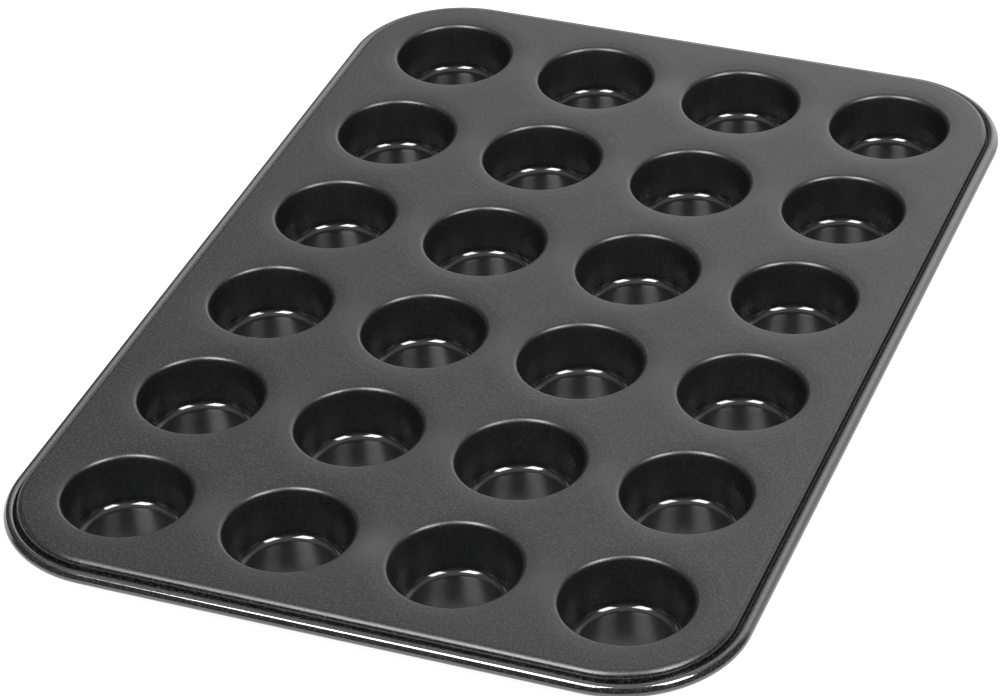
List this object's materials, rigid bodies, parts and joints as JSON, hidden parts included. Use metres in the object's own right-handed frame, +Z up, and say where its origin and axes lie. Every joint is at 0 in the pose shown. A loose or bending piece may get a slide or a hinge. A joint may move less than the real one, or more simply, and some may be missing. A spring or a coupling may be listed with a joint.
{
  "type": "muffin tin",
  "caption": "Mini muffin tin: a flat coated steel deck with rows of shallow tapered cups and a rolled rim, for baking small muffins.",
  "frame": {"origin": "middle of the tin in plan, on the plane that the cup bottoms stand on", "axes": "+Z up out of the cup mouths, +Y along the long side, +X along the short side"},
  "size_m": [0.2598, 0.3844, 0.0185],
  "materials": {
    "coated_steel": "dark charcoal satin non-stick coating on drawn sheet steel",
    "steel_wire": "drawn mild steel wire, closed inside the rolled rim"
  },
  "bodies": {
    "root": {"deck": "coated_steel", "cup_r1_c1": "coated_steel", "cup_r1_c2": "coated_steel", "cup_r1_c3": "coated_steel", "cup_r1_c4": "coated_steel", "cup_r2_c1": "coated_steel", "cup_r2_c2": "coated_steel", "cup_r2_c3": "coated_steel", "cup_r2_c4": "coated_steel", "cup_r3_c1": "coated_steel", "cup_r3_c2": "coated_steel", "cup_r3_c3": "coated_steel", "cup_r3_c4": "coated_steel", "cup_r4_c1": "coated_steel", "cup_r4_c2": "coated_steel", "cup_r4_c3": "coated_steel", "cup_r4_c4": "coated_steel", "cup_r5_c1": "coated_steel", "cup_r5_c2": "coated_steel", "cup_r5_c3": "coated_steel", "cup_r5_c4": "coated_steel", "cup_r6_c1": "coated_steel", "cup_r6_c2": "coated_steel", "cup_r6_c3": "coated_steel", "cup_r6_c4": "coated_steel", "rim_skirt": "coated_steel", "rim_bead": "coated_steel", "rim_wire": "steel_wire"}
  },
  "joints": []
}
